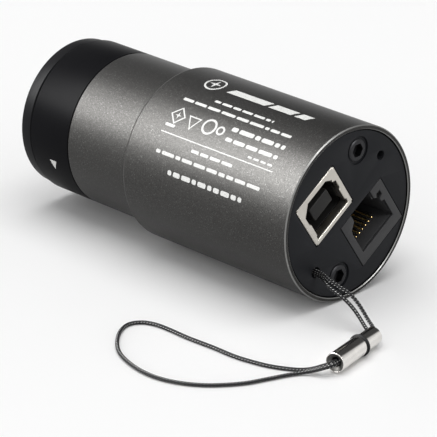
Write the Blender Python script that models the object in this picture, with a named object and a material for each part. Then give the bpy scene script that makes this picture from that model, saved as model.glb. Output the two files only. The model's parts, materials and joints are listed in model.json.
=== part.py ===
"""Small astronomy camera in a 1.25 inch barrel, lying on its side, with a wrist lanyard.

Units are metres, +Z is up and the optical axis runs along +X, with the nose at +X. The origin is on
the surface that the camera lies on, below the middle of its length. Stations along the body are
measured in millimetres forward from the rear rim.
"""

import math

import bmesh
import bpy
from mathutils import Matrix, Vector

MM = 0.001

# Overall body, millimetres
LENGTH = 76.0
BODY_R = 17.5
BARREL_R = 15.85
SHOULDER = 44.2
BARREL_FRONT = 61.4
RING_FRONT = 72.6
CAP_REAR = 72.9
CAP_R = 15.39
AXIS_HEIGHT = BODY_R
ROUND_FACETS = 48
SMALL_FACETS = 16

# Rear plate and the parts set in it
PLATE_R = 16.4
PLATE_REAR = 0.25
PLATE_FRONT = 3.15
REST_ROLL = 10.8
SCREW_CIRCLE_R = 12.4
PORT_TURN = 135.6
USB_ANGLE = 16.9
USB_CIRCLE_R = 7.43
USB_WIDTH = 11.8
USB_HEIGHT = 10.6
USB_OPENING_WIDTH = 9.2
USB_OPENING_HEIGHT = 8.3
USB_OPENING_CHAMFER = 2.0
ST4_ANGLE = 198.8
ST4_CIRCLE_R = 7.65
ST4_WIDTH = 13.0
ST4_HEIGHT = 11.7
ST4_BODY_WIDTH = 12.0
ST4_BODY_HEIGHT = 10.8
ST4_OPENING_WIDTH = 9.8
ST4_OPENING_HEIGHT = 6.8
ST4_OPENING_SHIFT = 0.1
LATCH_WIDTH = 6.2
LIGHT_ANGLE = 122.1
SMALL_HOLE_CIRCLE_R = 12.84
LANYARD_ANGLE = LIGHT_ANGLE + 180.0
PORT_REAR = 0.15
PORT_FRONT = 15.7
PORT_DEPTH = 11.4

# Stack of circuit boards
BOARD_THICKNESS = 1.6
CONNECTOR_BOARD = 16.0
MAIN_BOARD = 32.0
SENSOR_BOARD = 51.7
BOARD_R = 14.6
SENSOR_BOARD_R = 13.0
FRONT_PILLAR_CIRCLE_R = 10.4

# Window and nose
WINDOW_BORE_R = 13.35
NECK_R = 14.6
NECK_FRONT = 66.2
MOUNT_THREAD_R = 12.7
THREAD_SOCKET_R = 14.8

# Lanyard, millimetres
CORD_DIAMETER = 0.75
CORD_STEP = 2.3
CORD_PAIR = 0.43
BEAD_REAR = Vector((-55.5, 11.5, 2.2))
BEAD_FRONT = Vector((-58.4, 25.5, 2.2))
BEAD_BORE_R = 1.0
BEAD_R = 1.95
BEAD_TAIL_R = 1.8
BEAD_COLLAR_R = 2.2

# Plain cord route, from the lanyard hole to the bead, round the wrist loop and back
UPPER_STRAND = [
    (-34.6, 8.74, 8.52), (-36.6, 8.74, 8.52), (-38.6, 8.85, 8.5), (-40.2, 9.05, 8.42),
    (-42.4, 9.6, 8.1), (-45.1, 9.25, 7.3), (-46.6, 8.8, 6.55), (-48.2, 8.5, 5.3),
    (-49.6, 8.4, 3.9), (-51.0, 8.65, 2.85), (-52.7, 9.3, 2.3), (-54.2, 10.05, 2.0),
]
LOWER_STRAND = [
    (-34.6, 8.74, 7.66), (-36.6, 8.74, 7.66), (-38.4, 8.76, 7.66), (-39.8, 8.96, 7.62),
    (-41.2, 9.6, 7.45), (-42.6, 10.15, 7.2), (-45.2, 10.15, 6.35), (-46.7, 9.75, 5.4),
    (-48.1, 9.4, 4.2), (-49.4, 9.3, 3.0), (-50.6, 9.5, 2.15), (-51.9, 10.05, 1.75),
    (-53.3, 10.75, 1.75),
]
LOOP_START = [
    (-57.75, 26.5, 2.1), (-57.0, 27.25, 1.75), (-55.95, 27.85, 1.2), (-54.7, 28.55, 0.7),
]
WRIST_LOOP = [
    (-53.2, 29.5, 0.45), (-51.5, 30.6, 0.42), (-49.2, 31.8, 0.42), (-46.6, 32.7, 0.42),
    (-41.6, 33.7, 0.42), (-35.6, 33.9, 0.42), (-29.8, 34.3, 0.42), (-24.5, 34.3, 0.42),
    (-21.1, 34.6, 0.42), (-18.6, 35.8, 0.42), (-17.5, 38.3, 0.42), (-18.9, 41.7, 0.42),
    (-22.2, 45.4, 0.42), (-26.0, 48.0, 0.42), (-31.0, 49.6, 0.42), (-35.7, 50.0, 0.42),
    (-39.9, 49.2, 0.42), (-43.9, 47.2, 0.42), (-47.1, 44.4, 0.42), (-50.1, 40.3, 0.42),
    (-51.9, 36.0, 0.42), (-53.1, 32.9, 0.42), (-54.2, 30.7, 0.45),
]
LOOP_END = [
    (-55.4, 29.35, 0.7), (-56.7, 28.5, 1.2), (-57.85, 27.85, 1.75), (-58.6, 27.0, 2.1),
]

PALETTE = {
    "body_paint": ((0.30, 0.305, 0.315), 0.38, 0.85),
    "black_satin": ((0.022, 0.023, 0.025), 0.42, 0.1),
    "black_plate": ((0.012, 0.013, 0.015), 0.6, 0.0),
    "black_steel": ((0.03, 0.03, 0.032), 0.35, 0.8),
    "nickel": ((0.62, 0.60, 0.55), 0.28, 1.0),
    "port_plastic": ((0.03, 0.03, 0.033), 0.5, 0.0),
    "gold": ((0.83, 0.62, 0.27), 0.25, 1.0),
    "cord": ((0.025, 0.025, 0.027), 0.85, 0.0),
    "rubber": ((0.015, 0.015, 0.016), 0.7, 0.0),
    "board": ((0.01, 0.10, 0.05), 0.45, 0.0),
    "brass": ((0.72, 0.52, 0.25), 0.3, 1.0),
    "chip": ((0.02, 0.02, 0.022), 0.5, 0.0),
    "ceramic": ((0.42, 0.36, 0.28), 0.6, 0.0),
    "silicon": ((0.05, 0.055, 0.09), 0.15, 0.5),
    "glass": ((0.75, 0.85, 0.82), 0.05, 0.0),
    "light": ((0.55, 0.08, 0.05), 0.3, 0.0),
}


def clear_scene():
    for obj in list(bpy.data.objects):
        bpy.data.objects.remove(obj, do_unlink=True)


def material(slot):
    """Return the Principled material of a slot, made on first use."""
    found = bpy.data.materials.get(slot)
    if found:
        return found
    colour, roughness, metallic = PALETTE[slot]
    made = bpy.data.materials.new(slot)
    made.use_nodes = True
    shader = made.node_tree.nodes["Principled BSDF"]
    shader.inputs["Base Color"].default_value = (*colour, 1.0)
    shader.inputs["Roughness"].default_value = roughness
    shader.inputs["Metallic"].default_value = metallic
    return made


def along(station):
    """Turn a station in millimetres into the X coordinate in metres."""
    return (station - LENGTH / 2) * MM


def rear_point(angle, radius):
    """Place a point of the rear layout, turned by the roll at which the camera lies."""
    turn = math.radians(angle + REST_ROLL)
    return Vector((0.0, radius * math.cos(turn) * MM, (AXIS_HEIGHT + radius * math.sin(turn)) * MM))


def add_piece(name, mesh_data, slot, place=Matrix.Identity(4), flat_angle=30.0):
    """Turn a bmesh into a named object with outward faces."""
    bmesh.ops.recalc_face_normals(mesh_data, faces=mesh_data.faces)
    mesh = bpy.data.meshes.new(name)
    mesh_data.to_mesh(mesh)
    mesh_data.free()
    mesh.shade_smooth()
    mesh.set_sharp_from_angle(angle=math.radians(flat_angle))
    mesh.materials.append(material(slot))
    piece = bpy.data.objects.new(name, mesh)
    bpy.context.collection.objects.link(piece)
    piece.matrix_world = place
    return piece


def turned_mesh(profile, facets):
    """Turn a profile of (X, radius) points round the X axis, with a flat facet at the bottom.

    A profile that ends on the axis at both ends makes a solid, any other one a ring.
    """
    solid = profile[0][1] == 0.0 and profile[-1][1] == 0.0
    points = profile[1:-1] if solid else profile
    mesh_data = bmesh.new()
    rings = []
    for x, radius in points:
        reach = radius / math.cos(math.pi / facets)
        ring = []
        for index in range(facets):
            angle = 2 * math.pi * (index + 0.5) / facets
            ring.append(mesh_data.verts.new((x, reach * math.cos(angle), reach * math.sin(angle))))
        rings.append(ring)
    pairs = list(zip(rings, rings[1:]))
    if not solid:
        pairs.append((rings[-1], rings[0]))
    for near, far in pairs:
        for index in range(facets):
            following = (index + 1) % facets
            mesh_data.faces.new((near[index], near[following], far[following], far[index]))
    if solid:
        mesh_data.faces.new(rings[0])
        mesh_data.faces.new(rings[-1])
    return mesh_data


def turned(name, profile, slot, centre=None, facets=ROUND_FACETS):
    """Make a turned piece from (station, radius) points, on the body's axis or round another centre."""
    middle = centre or Vector((0.0, 0.0, AXIS_HEIGHT * MM))
    scaled = [(along(station), radius * MM) for station, radius in profile]
    return add_piece(name, turned_mesh(scaled, facets), slot, Matrix.Translation(middle))


def rod(rear, front, radius):
    """Profile of a plain solid rod between two stations."""
    return [(rear, 0.0), (rear, radius), (front, radius), (front, 0.0)]


def washer(rear, front, inner, outer):
    """Profile of a plain ring between two stations."""
    return [(rear, outer), (front, outer), (front, inner), (rear, inner)]


def prism(name, outline, rear, front, slot, centre, roll=0.0):
    """Extrude an outline of (width, height) points in millimetres along X, turned about X."""
    mesh_data = bmesh.new()
    near = [mesh_data.verts.new((along(rear), u * MM, v * MM)) for u, v in outline]
    far = [mesh_data.verts.new((along(front), u * MM, v * MM)) for u, v in outline]
    mesh_data.faces.new(near)
    mesh_data.faces.new(far)
    for index in range(len(outline)):
        following = (index + 1) % len(outline)
        mesh_data.faces.new((near[index], near[following], far[following], far[index]))
    place = Matrix.Translation(centre) @ Matrix.Rotation(math.radians(roll), 4, "X")
    return add_piece(name, mesh_data, slot, place)


def stepped_block(name, face, body, stations, slot, centre, roll):
    """Block along X whose outline changes from one to another at the middle one of three stations."""
    rear, step, front = stations
    mesh_data = bmesh.new()
    loops = []
    for station, outline in ((rear, face), (step, face), (step, body), (front, body)):
        loops.append([mesh_data.verts.new((along(station), u * MM, v * MM)) for u, v in outline])
    for near, far in zip(loops, loops[1:]):
        for index in range(len(near)):
            following = (index + 1) % len(near)
            mesh_data.faces.new((near[index], near[following], far[following], far[index]))
    mesh_data.faces.new(loops[0])
    mesh_data.faces.new(loops[-1])
    place = Matrix.Translation(centre) @ Matrix.Rotation(math.radians(roll), 4, "X")
    return add_piece(name, mesh_data, slot, place)


def rectangle(width, height, shift_u=0.0, shift_v=0.0):
    left, right = shift_u - width / 2, shift_u + width / 2
    low, high = shift_v - height / 2, shift_v + height / 2
    return [(left, low), (right, low), (right, high), (left, high)]


def cut(piece, cutter):
    """Cut one piece with another, which stays in the scene as a hidden guide."""
    cutter.hide_render = True
    cutter.display_type = "WIRE"
    difference = piece.modifiers.new("cut_" + cutter.name, "BOOLEAN")
    difference.operation = "DIFFERENCE"
    difference.solver = "EXACT"
    difference.object = cutter


def port_roll():
    return REST_ROLL + PORT_TURN


def make_housing():
    """One turned shell: wide body, shoulder, barrel, and the neck that carries the nose ring."""
    bore_r = 15.7
    barrel_bore_r = 13.6
    ledge_r = 11.6
    profile = [
        (0.0, 17.15), (0.35, BODY_R), (43.5, BODY_R), (SHOULDER, 16.8), (SHOULDER, BARREL_R),
        (BARREL_FRONT, BARREL_R), (BARREL_FRONT, NECK_R), (NECK_FRONT, NECK_R),
        (NECK_FRONT, WINDOW_BORE_R), (57.0, WINDOW_BORE_R), (57.0, ledge_r), (55.9, ledge_r),
        (55.9, barrel_bore_r), (41.5, barrel_bore_r), (39.7, bore_r), (PLATE_FRONT + 0.25, bore_r),
        (PLATE_FRONT + 0.25, PLATE_R + 0.15), (0.25, PLATE_R + 0.15), (0.0, PLATE_R + 0.35),
    ]
    turned("main_housing", profile, "body_paint")


def make_nose():
    """Window set in the neck, nose ring screwed over it, and the cap that pulls off the front."""
    turned("window_seal", washer(57.15, 57.6, 12.0, 13.1), "rubber")
    turned("window_glass", rod(57.8, 58.9, 13.1), "glass")
    retainer = turned("window_retainer", washer(59.1, 60.9, 11.6, 13.1), "black_satin")
    slots = prism("guide_spanner_slots", rectangle(1.4, 30.0), 60.2, 61.4, "black_satin",
                  Vector((0.0, 0.0, AXIS_HEIGHT * MM)))
    cut(retainer, slots)
    turned("nose_seal", washer(BARREL_FRONT + 0.12, 62.1, 14.95, 15.4), "rubber")
    ring_rear = BARREL_FRONT + 0.15
    ring = [
        (ring_rear, BARREL_R - 0.15), (ring_rear + 0.15, BARREL_R), (RING_FRONT - 0.25, BARREL_R),
        (RING_FRONT, BARREL_R - 0.25), (RING_FRONT, MOUNT_THREAD_R + 0.25),
        (RING_FRONT - 0.25, MOUNT_THREAD_R), (66.45, MOUNT_THREAD_R), (66.45, THREAD_SOCKET_R),
        (62.35, THREAD_SOCKET_R), (62.35, 15.5), (ring_rear, 15.5),
    ]
    turned("nose_ring", ring, "black_satin")
    plug_r = MOUNT_THREAD_R - 0.3
    cap = [
        (73.9, 0.0), (73.9, plug_r - 1.2), (68.9, plug_r - 1.2), (68.9, plug_r),
        (CAP_REAR, plug_r), (CAP_REAR, CAP_R - 0.35), (CAP_REAR + 0.35, CAP_R),
        (LENGTH - 0.3, CAP_R), (LENGTH, CAP_R - 0.3), (LENGTH, 0.0),
    ]
    turned("dust_cap", cap, "black_satin")


def hole_guide(name, rear, front, radius, centre, facets=SMALL_FACETS):
    return turned(name, rod(rear, front, radius), "black_plate", centre, facets)


def make_rear_plate():
    """Disc in the rear rim, with openings for both ports, two screws, the light and the lanyard."""
    plate_profile = [
        (PLATE_REAR, 0.0), (PLATE_REAR, PLATE_R - 0.2), (PLATE_REAR + 0.2, PLATE_R),
        (PLATE_FRONT, PLATE_R), (PLATE_FRONT, 0.0),
    ]
    plate = turned("rear_plate", plate_profile, "black_plate")
    through = (PLATE_REAR - 1.0, PLATE_FRONT + 1.0)
    ports = {
        "usb": (USB_WIDTH, USB_HEIGHT, rear_point(USB_ANGLE, USB_CIRCLE_R)),
        "st4": (ST4_WIDTH, ST4_HEIGHT, rear_point(ST4_ANGLE, ST4_CIRCLE_R)),
    }
    for label, (width, height, centre) in ports.items():
        outline = rectangle(width + 0.24, height + 0.24)
        cut(plate, prism("guide_" + label, outline, *through, "black_plate", centre, port_roll()))
    holes = [
        ("light", LIGHT_ANGLE, SMALL_HOLE_CIRCLE_R, 1.05),
        ("lanyard", LANYARD_ANGLE, SMALL_HOLE_CIRCLE_R, 1.1),
        ("screw_1", 90.0, SCREW_CIRCLE_R, 1.75),
        ("screw_2", 270.0, SCREW_CIRCLE_R, 1.75),
    ]
    for label, angle, circle, radius in holes:
        cut(plate, hole_guide("guide_" + label, *through, radius, rear_point(angle, circle)))
    for number, angle in ((1, 90.0), (2, 270.0)):
        centre = rear_point(angle, SCREW_CIRCLE_R)
        recess = hole_guide(f"guide_recess_{number}", -1.0, 2.35, 2.8, centre, 24)
        cut(plate, recess)
        make_rear_screw(number, centre)


def make_rear_screw(number, centre):
    """M3 socket screw with a low head and a hexagonal recess."""
    profile = [
        (0.45, 0.0), (0.45, 2.35), (0.75, 2.6), (2.15, 2.6), (2.15, 1.45), (8.0, 1.45), (8.0, 0.0),
    ]
    screw = turned(f"rear_screw_{number}", profile, "black_steel", centre, 24)
    socket = turned(f"guide_socket_{number}", rod(-0.5, 1.7, 1.25), "black_steel", centre, 6)
    cut(screw, socket)


def make_usb_port():
    """Type B socket: metal shell, plastic tongue and four contacts."""
    centre = rear_point(USB_ANGLE, USB_CIRCLE_R)
    outer = rectangle(USB_WIDTH, USB_HEIGHT)
    shell = prism("usb_shell", outer, PORT_REAR, PORT_FRONT, "nickel", centre, port_roll())
    half_w, half_h = USB_OPENING_WIDTH / 2, USB_OPENING_HEIGHT / 2
    corner = USB_OPENING_CHAMFER
    inner = [
        (-half_w, half_h), (-half_w, corner - half_h), (corner - half_w, -half_h),
        (half_w - corner, -half_h), (half_w, corner - half_h), (half_w, half_h),
    ]
    cavity_end = PORT_REAR + PORT_DEPTH
    cut(shell, prism("guide_usb_inner", inner, -1.0, cavity_end, "nickel", centre, port_roll()))
    base_front = cavity_end - 0.2
    base_rear = base_front - 2.0
    inset = 0.2
    base_outline = [(u * (1 - inset / half_w), v * (1 - inset / half_h)) for u, v in inner]
    tongue = prism("usb_insulator", base_outline, PORT_REAR + 1.0, base_front, "port_plastic",
                   centre, port_roll())
    moat = prism("guide_usb_moat", rectangle(20.0, 20.0), 0.0, base_rear, "port_plastic",
                 centre, port_roll())
    core = prism("guide_usb_core", rectangle(5.6, 3.2), -1.0, base_rear + 1.0, "port_plastic",
                 centre, port_roll())
    cut(moat, core)
    cut(tongue, moat)
    for number in range(4):
        side = -1.0 if number < 2 else 1.0
        across = -1.25 if number % 2 == 0 else 1.25
        strip = rectangle(1.1, 0.25, across, side * (1.6 + 0.15 + 0.125))
        prism(f"usb_contact_{number + 1}", strip, PORT_REAR + 1.5, base_rear - 0.2, "gold",
              centre, port_roll())


def make_guide_port():
    """Six-way modular jack: body with a plug opening and latch notch, and six spring contacts."""
    centre = rear_point(ST4_ANGLE, ST4_CIRCLE_R)
    face = rectangle(ST4_WIDTH, ST4_HEIGHT)
    body = rectangle(ST4_BODY_WIDTH, ST4_BODY_HEIGHT)
    jack = stepped_block("st4_jack", face, body, (PORT_REAR, PLATE_FRONT, PORT_FRONT),
                         "port_plastic", centre, port_roll())
    cavity_end = PORT_REAR + PORT_DEPTH
    opening = rectangle(ST4_OPENING_WIDTH, ST4_OPENING_HEIGHT, 0.0, ST4_OPENING_SHIFT)
    cut(jack, prism("guide_st4_inner", opening, -1.0, cavity_end, "port_plastic", centre,
                    port_roll()))
    top_edge = -ST4_HEIGHT / 2 - 1.0
    notch_floor = ST4_OPENING_SHIFT - ST4_OPENING_HEIGHT / 2 + 0.5
    notch_height = notch_floor - top_edge
    notch = rectangle(LATCH_WIDTH, notch_height, 0.0, top_edge + notch_height / 2)
    cut(jack, prism("guide_st4_notch", notch, -1.0, 7.6, "port_plastic", centre, port_roll()))
    pitch = 1.02
    for number in range(6):
        across = (number - 2.5) * pitch
        make_spring_contact(number + 1, across, centre)


def make_spring_contact(number, across, centre):
    """A gold wire that lies on the jack's floor at the mouth and rises towards its back."""
    low = ST4_OPENING_SHIFT + ST4_OPENING_HEIGHT / 2 - 0.3
    thick = 0.35
    path = [(2.4, low), (3.6, low), (9.6, low - 4.2), (10.6, low - 4.2)]
    mesh_data = bmesh.new()
    rows = []
    for station, height in path:
        row = []
        for u, v in rectangle(0.45, thick, across, height - thick / 2):
            row.append(mesh_data.verts.new((along(station), u * MM, v * MM)))
        rows.append(row)
    for near, far in zip(rows, rows[1:]):
        for index in range(4):
            following = (index + 1) % 4
            mesh_data.faces.new((near[index], near[following], far[following], far[index]))
    mesh_data.faces.new(rows[0])
    mesh_data.faces.new(rows[-1])
    place = Matrix.Translation(centre) @ Matrix.Rotation(math.radians(port_roll()), 4, "X")
    add_piece(f"st4_contact_{number}", mesh_data, "gold", place)


def make_boards():
    """Three round boards joined by pillars and plugs, and the larger parts on them."""
    boards = [
        ("connector_board", CONNECTOR_BOARD, BOARD_R, SCREW_CIRCLE_R, (90.0, 270.0)),
        ("main_board", MAIN_BOARD, BOARD_R, SCREW_CIRCLE_R, (90.0, 270.0)),
        ("sensor_board", SENSOR_BOARD, SENSOR_BOARD_R, FRONT_PILLAR_CIRCLE_R, (0.0, 180.0)),
    ]
    for name, rear, radius, circle, angles in boards:
        board = turned(name, rod(rear, rear + BOARD_THICKNESS, radius), "board")
        for number, angle in enumerate(angles, 1):
            guide = hole_guide(f"guide_{name}_{number}", rear - 1.0, rear + BOARD_THICKNESS + 1.0,
                               1.55, rear_point(angle, circle))
            cut(board, guide)
    make_pillars()
    middle = Vector((0.0, 0.0, AXIS_HEIGHT * MM))
    main_front = MAIN_BOARD + BOARD_THICKNESS + 0.15
    connector_front = CONNECTOR_BOARD + BOARD_THICKNESS + 0.15
    parts = [
        ("board_header", rectangle(4.8, 12.0, 8.0, 0.0), connector_front, MAIN_BOARD - 0.15, "chip"),
        ("sensor_header", rectangle(10.0, 4.2, 0.0, 7.4), main_front, SENSOR_BOARD - 0.15, "chip"),
        ("usb_controller", rectangle(9.0, 9.0, 0.0, -4.0), main_front, main_front + 1.0, "chip"),
        ("frame_memory", rectangle(8.0, 10.5, -4.0, 0.0), MAIN_BOARD - 1.35, MAIN_BOARD - 0.15,
         "chip"),
        ("crystal", rectangle(3.2, 5.0, -7.4, -7.0), main_front, main_front + 1.1, "nickel"),
    ]
    for name, outline, rear, front, slot in parts:
        prism(name, outline, rear, front, slot, middle, REST_ROLL)
    turned("power_inductor", rod(connector_front, connector_front + 3.2, 3.0), "chip",
           rear_point(200.0, 8.0), SMALL_FACETS)
    for number, angle in ((1, 150.0), (2, 245.0)):
        turned(f"capacitor_{number}", rod(connector_front, connector_front + 5.4, 2.0), "nickel",
               rear_point(angle, 9.0), SMALL_FACETS)


def make_pillars():
    """Hexagonal pillars: two behind the connector board, two ahead of it and two under the sensor."""
    pillar_r = 2.2
    stud_r = 1.2
    hole_r = 1.65
    for number, angle in ((1, 90.0), (2, 270.0)):
        centre = rear_point(angle, SCREW_CIRCLE_R)
        front = CONNECTOR_BOARD - 0.15
        profile = [
            (3.5, hole_r), (3.5, pillar_r), (front, pillar_r), (front, hole_r),
        ]
        turned(f"rear_standoff_{number}", profile, "brass", centre, 6)
        start = CONNECTOR_BOARD + BOARD_THICKNESS + 0.15
        end = MAIN_BOARD - 0.15
        profile = [
            (start - 5.0, 0.0), (start - 5.0, stud_r), (start, stud_r), (start, pillar_r),
            (end, pillar_r), (end, hole_r), (end - 6.0, hole_r), (end - 6.0, 0.0),
        ]
        turned(f"mid_standoff_{number}", profile, "brass", centre, 6)
        head = MAIN_BOARD + BOARD_THICKNESS + 0.15
        profile = [
            (head - 6.0, 0.0), (head - 6.0, stud_r), (head, stud_r), (head, 2.1),
            (head + 1.3, 2.1), (head + 1.3, 0.0),
        ]
        turned(f"main_board_screw_{number}", profile, "nickel", centre, SMALL_FACETS)
    for number, angle in ((1, 0.0), (2, 180.0)):
        centre = rear_point(angle, FRONT_PILLAR_CIRCLE_R)
        start = MAIN_BOARD + BOARD_THICKNESS + 0.15
        turned(f"front_standoff_{number}", washer(start, SENSOR_BOARD - 0.15, hole_r, pillar_r),
               "brass", centre, 6)
        head = SENSOR_BOARD + BOARD_THICKNESS + 0.15
        profile = [
            (head - 6.0, 0.0), (head - 6.0, stud_r), (head, stud_r), (head, 2.0),
            (head + 1.2, 2.0), (head + 1.2, 0.0),
        ]
        turned(f"sensor_screw_{number}", profile, "nickel", centre, SMALL_FACETS)


def make_sensor():
    """Ceramic package with the silicon in its recess and a cover glass over it."""
    middle = Vector((0.0, 0.0, AXIS_HEIGHT * MM))
    rear = SENSOR_BOARD + BOARD_THICKNESS + 0.15
    front = rear + 1.5
    package = prism("sensor_package", rectangle(11.4, 11.4), rear, front, "ceramic", middle,
                    REST_ROLL)
    cut(package, prism("guide_die_recess", rectangle(7.4, 6.4), rear + 0.5, front + 1.0, "ceramic",
                       middle, REST_ROLL))
    prism("sensor_die", rectangle(6.6, 5.4), rear + 0.6, rear + 1.0, "silicon", middle, REST_ROLL)
    prism("sensor_glass", rectangle(8.8, 8.8), front + 0.1, front + 0.6, "glass", middle, REST_ROLL)


def make_status_light():
    centre = rear_point(LIGHT_ANGLE, SMALL_HOLE_CIRCLE_R)
    turned("light_pipe", rod(PLATE_REAR + 0.15, 14.4, 0.9), "light", centre, SMALL_FACETS)
    prism("status_led", rectangle(2.0, 1.25), 14.6, CONNECTOR_BOARD - 0.15, "light", centre,
          REST_ROLL)


def bead_place():
    """World placement of the bead, whose own X axis runs from its rear end to its front mouth."""
    direction = (BEAD_FRONT - BEAD_REAR).normalized()
    turn = direction.to_track_quat("X", "Z").to_matrix().to_4x4()
    return Matrix.Translation(BEAD_REAR * MM) @ turn


def bead_piece(name, profile, slot):
    scaled = [(x * MM, radius * MM) for x, radius in profile]
    add_piece(name, turned_mesh(scaled, 24), slot, bead_place())


def make_bead():
    """Metal bead in three parts that gathers the two runs of cord."""
    length = (BEAD_FRONT - BEAD_REAR).length
    tail_end = 0.33 * length
    collar_end = tail_end + 0.75
    bead_piece("bead_tail", [
        (0.0, BEAD_TAIL_R - 0.3), (0.3, BEAD_TAIL_R), (tail_end, BEAD_TAIL_R),
        (tail_end, BEAD_BORE_R), (0.3, BEAD_BORE_R), (0.0, BEAD_BORE_R + 0.3),
    ], "nickel")
    bead_piece("bead_collar", [
        (tail_end + 0.08, BEAD_COLLAR_R - 0.2), (tail_end + 0.25, BEAD_COLLAR_R),
        (collar_end - 0.17, BEAD_COLLAR_R), (collar_end, BEAD_COLLAR_R - 0.2),
        (collar_end, BEAD_BORE_R), (tail_end + 0.08, BEAD_BORE_R),
    ], "rubber")
    bead_piece("bead_sleeve", [
        (collar_end + 0.08, BEAD_R), (length - 0.12, BEAD_R), (length, BEAD_R - 0.12),
        (length - 0.15, BEAD_R - 0.3), (length - 0.9, BEAD_BORE_R + 0.1),
        (length - 1.2, BEAD_BORE_R), (collar_end + 0.08, BEAD_BORE_R),
    ], "nickel")


def cord_route():
    """Points of the whole cord: in along one strand, round the loop and back along the other."""
    direction = (BEAD_FRONT - BEAD_REAR).normalized()
    side = Vector((-direction.y, direction.x, 0.0)) * CORD_PAIR
    depths = (-0.2, 3.0, 7.2, 11.4, (BEAD_FRONT - BEAD_REAR).length)
    left = [BEAD_REAR + direction * depth + side for depth in depths]
    right = [BEAD_REAR + direction * depth - side for depth in depths]
    route = [Vector(point) for point in LOWER_STRAND]
    route += right
    route += [Vector(point) for point in LOOP_START + WRIST_LOOP + LOOP_END]
    route += reversed(left)
    route += [Vector(point) for point in reversed(UPPER_STRAND)]
    return route


def smooth_points(route, step):
    """Read a smooth curve through the route, about one point for each step of its length."""
    ends = [2 * route[0] - route[1]] + route + [2 * route[-1] - route[-2]]
    points = [route[0]]
    for before, start, end, after in zip(ends, ends[1:], ends[2:], ends[3:]):
        pieces = max(1, round((end - start).length / step))
        for index in range(1, pieces + 1):
            t = index / pieces
            pull = 0.5 * (2 * start + (end - before) * t
                          + (2 * before - 5 * start + 4 * end - after) * t * t
                          + (3 * start - before - 3 * end + after) * t ** 3)
            points.append(pull)
    return points


def make_cord():
    """One thin cord, a round tube along its route, with a stop knot behind the rear plate."""
    points = smooth_points(cord_route(), CORD_STEP)
    data = bpy.data.curves.new("lanyard_cord", "CURVE")
    data.dimensions = "3D"
    data.bevel_depth = CORD_DIAMETER / 2 * MM
    data.bevel_resolution = 2
    data.use_fill_caps = True
    spline = data.splines.new("POLY")
    spline.points.add(len(points) - 1)
    for target, point in zip(spline.points, points):
        target.co = (*(point * MM), 1.0)
    data.materials.append(material("cord"))
    cord = bpy.data.objects.new("lanyard_cord", data)
    bpy.context.collection.objects.link(cord)
    knot_centre = rear_point(LANYARD_ANGLE, SMALL_HOLE_CIRCLE_R)
    knot = [(3.7, 0.0), (3.7, 1.1), (4.3, 1.75), (5.4, 1.75), (6.0, 1.1), (6.0, 0.0)]
    turned("lanyard_knot", knot, "cord", knot_centre, SMALL_FACETS)


def main():
    clear_scene()
    make_housing()
    make_nose()
    make_rear_plate()
    make_usb_port()
    make_guide_port()
    make_boards()
    make_sensor()
    make_status_light()
    make_bead()
    make_cord()


main()
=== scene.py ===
"""Looks of a small astronomy camera with a wrist lanyard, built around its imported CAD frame.

The frame is that of the CAD model, in metres: +X is the optical axis towards the nose and +Z is up.
Places come from the boxes of the CAD nodes. Outlines and routes are written in millimetres, and MM
turns them into metres. A station is a distance ahead of the rear rim.
"""

import json
import math
import random

import bmesh
import bpy
from mathutils import Matrix, Vector


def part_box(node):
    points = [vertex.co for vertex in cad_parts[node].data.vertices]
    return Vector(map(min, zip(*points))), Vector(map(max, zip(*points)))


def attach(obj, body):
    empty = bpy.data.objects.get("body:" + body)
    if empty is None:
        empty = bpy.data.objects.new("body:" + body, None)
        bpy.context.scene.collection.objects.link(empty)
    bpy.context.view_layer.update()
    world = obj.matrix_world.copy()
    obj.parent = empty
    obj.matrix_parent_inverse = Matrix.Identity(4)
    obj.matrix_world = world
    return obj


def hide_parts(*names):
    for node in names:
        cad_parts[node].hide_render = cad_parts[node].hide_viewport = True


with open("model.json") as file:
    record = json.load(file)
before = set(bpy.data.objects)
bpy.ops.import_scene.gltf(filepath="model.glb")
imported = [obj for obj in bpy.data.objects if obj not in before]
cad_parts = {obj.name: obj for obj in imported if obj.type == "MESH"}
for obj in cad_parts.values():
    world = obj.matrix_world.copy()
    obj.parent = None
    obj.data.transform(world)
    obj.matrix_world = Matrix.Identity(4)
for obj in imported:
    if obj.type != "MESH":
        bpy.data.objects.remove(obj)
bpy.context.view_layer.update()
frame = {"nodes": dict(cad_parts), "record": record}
NODES = frame["nodes"]
MM = 0.001
SKIN_GAP = 0.02


def radius_of(node):
    """Radius of a round CAD node, less a gap that keeps the finer surface inside it."""
    low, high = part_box(node)
    return (high.z - low.z) / 2 / MM - SKIN_GAP


def stations_of(node):
    """How far the rear and the front of a CAD node are ahead of the rear rim."""
    low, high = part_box(node)
    return (low.x - REAR_X) / MM, (high.x - REAR_X) / MM


# Places read from the CAD nodes: the axis in metres, radii in millimetres
HOUSING_LOW, HOUSING_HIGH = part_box("main_housing")
REAR_X = HOUSING_LOW.x
AXIS_Z = (HOUSING_LOW.z + HOUSING_HIGH.z) / 2
AXIS = Vector((0.0, 0.0, AXIS_Z))
ON_AXIS = Matrix.Translation(AXIS)
BODY_R = radius_of("main_housing")
BARREL_R = radius_of("nose_ring")
CAP_R = radius_of("dust_cap")
PLATE_R = radius_of("rear_plate")

# Layout that the boxes can't tell: stations and radii in millimetres, roll in degrees
SHOULDER = 44.2
BARREL_FRONT = 61.4
NECK_FRONT = 66.2
NECK_R = 14.55
RIM_SEAT_R = 16.60
PORT_ROLL = 146.4
PORT_FACE = 0.17
PORT_BACK = 15.6
WIRE_PITCH = 1.02
THREAD_PITCH = 0.75
C_THREAD_PITCH = 0.794

# Fineness of the turned pieces and of the shading
OUTER_FACETS = 224
INNER_FACETS = 128
SHARP_ANGLE = 32.0

# Ink of the printed marks, in millimetres
INK_GAP = 0.003
INK_THICK = 0.012
PRINT_R = BODY_R + INK_GAP

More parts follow.
